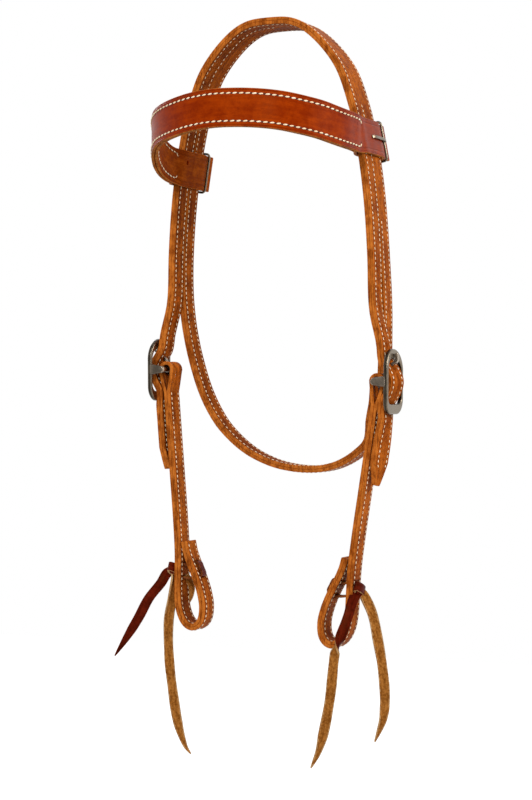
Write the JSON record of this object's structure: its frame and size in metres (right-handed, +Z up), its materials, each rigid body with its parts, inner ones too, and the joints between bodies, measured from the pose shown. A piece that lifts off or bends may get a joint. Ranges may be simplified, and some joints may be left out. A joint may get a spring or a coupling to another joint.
{
  "type": "western headstall",
  "caption": "Stitched leather headstall for a western bridle: a crown split into cheek billets and a throatlatch, a clasped browband, and buckled cheek straps with tied bit loops.",
  "frame": {"origin": "middle of the crown's underside, where it rests on the poll", "axes": "+Z up, -Y the way the browband faces, +X the right-hand side of a viewer who faces the browband"},
  "size_m": [0.2315, 0.1705, 0.563],
  "materials": {
    "harness_leather": "waxed",
    "russet_leather": "glazed",
    "latigo_leather": "oiled",
    "dark_nickel": "satin"
  },
  "bodies": {
    "crownpiece": {"crown_outer": "harness_leather", "crown_lining": "harness_leather", "browband_outer": "russet_leather", "browband_lining": "russet_leather", "browband_clasp_ring_left": "dark_nickel", "browband_clasp_ring_right": "dark_nickel", "cheek_buckle_frame_left": "dark_nickel", "cheek_buckle_frame_right": "dark_nickel"},
    "cheek_left": {"cheek_strap_left": "harness_leather", "tie_thong_left": "latigo_leather", "thong_tail_front_left": "latigo_leather", "thong_tail_rear_left": "latigo_leather"},
    "buckle_tongue_left": {"cheek_buckle_tongue_left": "dark_nickel"},
    "clasp_tongue_left": {"browband_clasp_tongue_left": "dark_nickel"},
    "cheek_right": {"cheek_strap_right": "harness_leather", "tie_thong_right": "latigo_leather", "thong_tail_front_right": "latigo_leather", "thong_tail_rear_right": "latigo_leather"},
    "buckle_tongue_right": {"cheek_buckle_tongue_right": "dark_nickel"},
    "clasp_tongue_right": {"browband_clasp_tongue_right": "dark_nickel"}
  },
  "joints": [
    {"name": "cheek_swing_left", "type": "hinge", "parent": "crownpiece", "child": "cheek_left", "pos_m": [-0.088, -0.00843, -0.2595], "axis": [0, -1, 0], "range_deg": [0, 12]},
    {"name": "buckle_tongue_turn_left", "type": "hinge", "parent": "crownpiece", "child": "buckle_tongue_left", "pos_m": [-0.088, -0.00843, -0.2595], "axis": [0, -1, 0], "range_deg": [0, 10]},
    {"name": "clasp_tongue_turn_left", "type": "hinge", "parent": "crownpiece", "child": "clasp_tongue_left", "pos_m": [-0.08078, 0.0231, -0.10377], "axis": [-0.1574, 0, -0.9875], "range_deg": [0, 120]},
    {"name": "cheek_swing_right", "type": "hinge", "parent": "crownpiece", "child": "cheek_right", "pos_m": [0.088, -0.00843, -0.2695], "axis": [0, 1, 0], "range_deg": [0, 12]},
    {"name": "buckle_tongue_turn_right", "type": "hinge", "parent": "crownpiece", "child": "buckle_tongue_right", "pos_m": [0.088, -0.00843, -0.2695], "axis": [0, 1, 0], "range_deg": [0, 10]},
    {"name": "clasp_tongue_turn_right", "type": "hinge", "parent": "crownpiece", "child": "clasp_tongue_right", "pos_m": [0.07745, 0.0231, -0.08762], "axis": [-0.1897, 0, 0.9818], "range_deg": [0, 120]}
  ]
}
